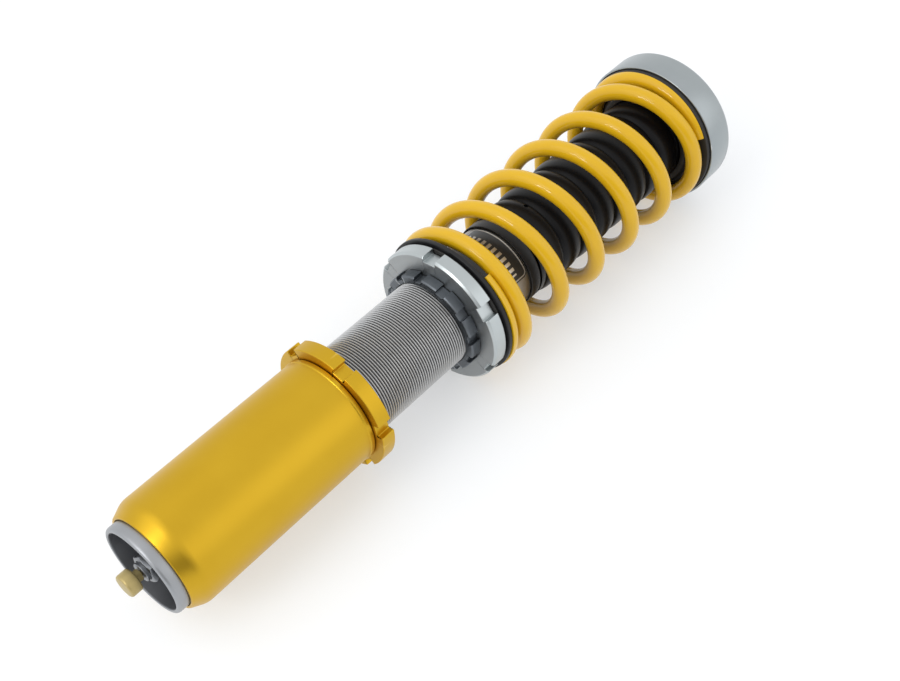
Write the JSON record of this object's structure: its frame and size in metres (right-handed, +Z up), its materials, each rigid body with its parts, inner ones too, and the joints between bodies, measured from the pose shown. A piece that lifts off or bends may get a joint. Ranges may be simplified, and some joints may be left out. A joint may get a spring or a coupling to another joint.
{
  "type": "coilover",
  "caption": "Inverted mono-tube coilover strut: threaded body, knuckle sleeve, lock rings, spring perch, coil spring, dust boot and top seat, lying on its side.",
  "frame": {"origin": "bottom centre of the bounding box; the strut lies on its side, resting on the top seat", "axes": "+X along the strut from the adjuster knob to the top seat, +Z up"},
  "size_m": [0.446, 0.0868, 0.0868],
  "materials": {
    "grey_anodised": "hard anodised grey, satin",
    "gold_anodised": "gold anodised, satin",
    "dark_anodised": "dark anodised, satin",
    "silver_aluminium": "machined, clear anodised",
    "satin_silver": "blasted, clear anodised",
    "yellow_powder": "glossy powder coat on spring steel",
    "black_rubber": "matte",
    "dark_plastic": "matte",
    "chrome": "polished",
    "steel": "zinc plated",
    "pale_brass": "satin",
    "bronze": "plain bearing bronze",
    "urethane": "matte",
    "ptfe": "matte"
  },
  "bodies": {
    "strut_body": {"body_tube": "grey_anodised", "foot_plug": "dark_anodised", "piston_rod": "chrome", "rod_nut": "steel", "bump_stop": "urethane", "lower_bush": "bronze", "upper_bush": "bronze", "wiper_seal": "black_rubber", "dust_cap": "dark_plastic", "thrust_washer": "black_rubber", "thrust_ring": "dark_plastic", "main_spring": "yellow_powder", "rubber_boot": "black_rubber", "rebound_shims": "steel", "piston": "bronze", "piston_band": "ptfe", "compression_shims": "steel", "piston_nut": "steel"},
    "sleeve": {"knuckle_sleeve": "gold_anodised"},
    "lock_ring": {"sleeve_lock_ring": "gold_anodised"},
    "lock_nut": {"perch_lock_nut": "dark_anodised"},
    "perch": {"spring_perch": "silver_aluminium"},
    "damper": {"damper_tube": "chrome", "seal_head": "silver_aluminium", "rod_seal": "black_rubber", "top_cap": "steel", "top_seat": "satin_silver", "seat_isolator": "black_rubber", "bearing_lower_race": "steel", "bearing_cage": "bronze", "top_washer": "steel", "top_nut": "steel"},
    "gas_piston": {"floating_piston": "silver_aluminium", "floating_bleed_screw": "steel", "floating_piston_ring": "black_rubber"},
    "bearing_top": {"bearing_upper_race": "steel"},
    "knob": {"adjuster_knob": "pale_brass", "adjuster_needle": "steel"}
  },
  "joints": [
    {"name": "strut_stroke", "type": "slide", "parent": "strut_body", "child": "damper", "axis": [-1, 0, 0], "range_m": [0, 0.055], "stiffness_N_per_m": 38000, "deforming": ["main_spring", "rubber_boot"]},
    {"name": "gas_piston_slide", "type": "slide", "parent": "damper", "child": "gas_piston", "axis": [1, 0, 0], "range_m": [0, 0.012]},
    {"name": "sleeve_height", "type": "slide", "parent": "strut_body", "child": "sleeve", "axis": [1, 0, 0], "range_m": [-0.003, 0.035]},
    {"name": "lock_ring_travel", "type": "slide", "parent": "sleeve", "child": "lock_ring", "axis": [1, 0, 0], "range_m": [0, 0.012]},
    {"name": "lock_nut_travel", "type": "slide", "parent": "strut_body", "child": "lock_nut", "axis": [-1, 0, 0], "range_m": [0, 0.008]},
    {"name": "perch_turn", "type": "hinge", "parent": "strut_body", "child": "perch", "pos_m": [-0.011, 0, 0.0434], "axis": [1, 0, 0], "range_deg": [-45, 45]},
    {"name": "bearing_turn", "type": "hinge", "parent": "damper", "child": "bearing_top", "pos_m": [0.202, 0, 0.0434], "axis": [1, 0, 0], "range_deg": [-45, 45]},
    {"name": "knob_turn", "type": "hinge", "parent": "strut_body", "child": "knob", "pos_m": [-0.22, 0, 0.0434], "axis": [1, 0, 0], "range_deg": [0, 330]}
  ],
  "couplings": [
    {"joint": "gas_piston_slide", "follows": "strut_stroke", "ratio": 0.1975}
  ]
}
